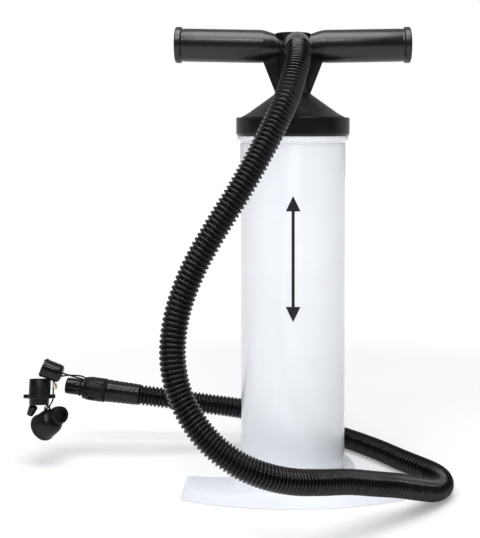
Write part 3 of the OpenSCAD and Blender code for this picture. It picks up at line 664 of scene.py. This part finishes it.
cuff = lathe("connector_cuff", cuff_outline(), along_connector)
grip_body = cut_away(lathe("connector_grip", filleted(BODY_OUTLINE), along_connector),
                     *[notch_cutter(z) for z in NOTCH_PLACES])
nose = lathe("connector_nose", filleted(TIP_OUTLINE), along_connector)
band = lathe("tether_band", filleted(LOOP_OUTLINE), along_connector, 96)
on_hose = [
    finished(cuff, BLACK_GLOSS, "guide", "black_gloss", "hose_end_cuff"),
    finished(grip_body, BLACK_SATIN, "guide", "black_gloss", "connector_body"),
    finished(nose, BLACK_GLOSS, "guide", "black_gloss", "connector_tip"),
    finished(band, BLACK_RUBBER, "adapters", "black_rubber", "tether_loop"),
    frame["nodes"]["tip_o_ring"],
    frame["nodes"]["adapter_washer"],
]


# ---- Adapters ----

for name, node, width, material, slot, body in (
        ("ring_shell", "tether_ring", 0.4, BLACK_SATIN, "black_satin", "adapters"),
        ("cap_shell", "cap_adapter", 0.7, BLACK_GLOSS, "black_gloss", "adapters"),
        ("flanged_shell", "flanged_adapter", 0.45, BLACK_SATIN, "black_satin", "adapters"),
        ("nozzle_shell", "adapter_nozzle", 0.6, BLACK_GLOSS, "black_gloss", "adapters"),
        ("bell_shell", "bell_adapter", 0.45, BLACK_SATIN, "black_satin", "bell")):
    on_hose.append(finished(eased(name, node, width), material, body, slot, node))


# ---- Stage and light ----

def area_light(name, place, aim, size, power, color=(1, 1, 1)):
    data = bpy.data.lights.new(name, "AREA")
    data.shape = "RECTANGLE"
    data.size, data.size_y = size
    data.energy = power
    data.color = color
    light = bpy.data.objects.new(name, data)
    light.location = place
    light.rotation_euler = (Vector(aim) - Vector(place)).to_track_quat("-Z", "Y").to_euler()
    bpy.context.scene.collection.objects.link(light)
    return light


LIT_RADIUS = 0.35        # out to here the floor is lit by the lamps and has a faint painted glow that keeps its shadows shallow
GLOW_RADIUS = 0.8        # and glows plain white from here on


def white_floor():
    """A floor that is lit near the pump, where shadows fall, with a faint painted glow there that keeps them
    shallow, and glows plain white further away.
    """
    material, nodes, links, principled = shader("floor_white", (0.7, 0.7, 0.7), 0.9, 0.0)
    principled.inputs["Emission Color"].default_value = (1, 1, 1, 1)
    place = nodes.new("ShaderNodeTexCoord")
    length = nodes.new("ShaderNodeVectorMath")
    length.operation = "LENGTH"
    links.new(place.outputs["Object"], length.inputs[0])
    out = length.outputs["Value"]
    # painted light: the floor's own glow, faint near the pump and plain white further away
    glow = ranged(nodes, links, out, 0.3, 1.05, LIT_RADIUS, GLOW_RADIUS)
    links.new(glow, principled.inputs["Emission Strength"])
    fade = nodes.new("ShaderNodeMix")
    fade.data_type = "RGBA"
    links.new(ranged(nodes, links, out, 0, 1, LIT_RADIUS, GLOW_RADIUS), fade.inputs["Factor"])
    fade.inputs["A"].default_value = (0.7, 0.7, 0.7, 1)
    fade.inputs["B"].default_value = (0.02, 0.02, 0.02, 1)
    links.new(fade.outputs["Result"], principled.inputs["Base Color"])
    return material


floor = mesh_piece("floor", [(-6, -3, 0), (6, -3, 0), (6, 6, 0), (-6, 6, 0)], [(0, 1, 2, 3)])
floor.data.materials.append(white_floor())


def studio_world(front, behind):
    """A plain white backdrop that lights the pump brightly from behind and dimly from the camera's side."""
    world = bpy.data.worlds.new("studio")
    bpy.context.scene.world = world
    world.use_nodes = True
    nodes, links = world.node_tree.nodes, world.node_tree.links
    seen = nodes["Background"]
    seen.inputs["Color"].default_value = (1, 1, 1, 1)
    seen.inputs["Strength"].default_value = 1.0
    around = nodes.new("ShaderNodeBackground")
    around.inputs["Color"].default_value = (0.96, 0.98, 1, 1)
    toward = nodes.new("ShaderNodeTexCoord")
    parts = nodes.new("ShaderNodeSeparateXYZ")
    links.new(toward.outputs["Generated"], parts.inputs["Vector"])
    links.new(ranged(nodes, links, parts.outputs["Y"], front, behind, -0.1, 0.35), around.inputs["Strength"])
    rays = nodes.new("ShaderNodeLightPath")
    mix = nodes.new("ShaderNodeMixShader")
    links.new(rays.outputs["Is Camera Ray"], mix.inputs["Fac"])
    links.new(around.outputs["Background"], mix.inputs[1])
    links.new(seen.outputs["Background"], mix.inputs[2])
    links.new(mix.outputs["Shader"], nodes["World Output"].inputs["Surface"])


studio_world(0.03, 0.55)
SUBJECT = (-0.03, 0, 0.24)
area_light("overhead", (-0.05, -0.2, 1.35), (-0.03, 0, 0.3), (1.2, 0.8), 15, (0.97, 0.98, 1))
area_light("strip", (-0.25, -1.15, 1.45), SUBJECT, (1.4, 0.12), 11, (0.92, 0.95, 1))
# These lift the white parts without showing up in the black ones
fills = (area_light("front", (0.05, -1.4, 0.22), (-0.03, 0, 0.06), (0.6, 0.4), 6.5),
         area_light("side_left", (-1.3, -1.0, 0.5), SUBJECT, (0.4, 1.0), 0.4),
         area_light("side_right", (1.3, -0.9, 0.5), SUBJECT, (0.4, 1.0), 0.4))
for fill in fills:
    fill.visible_glossy = False
bpy.context.scene.view_settings.view_transform = "Standard"
bpy.context.scene.view_settings.gamma = 0.86
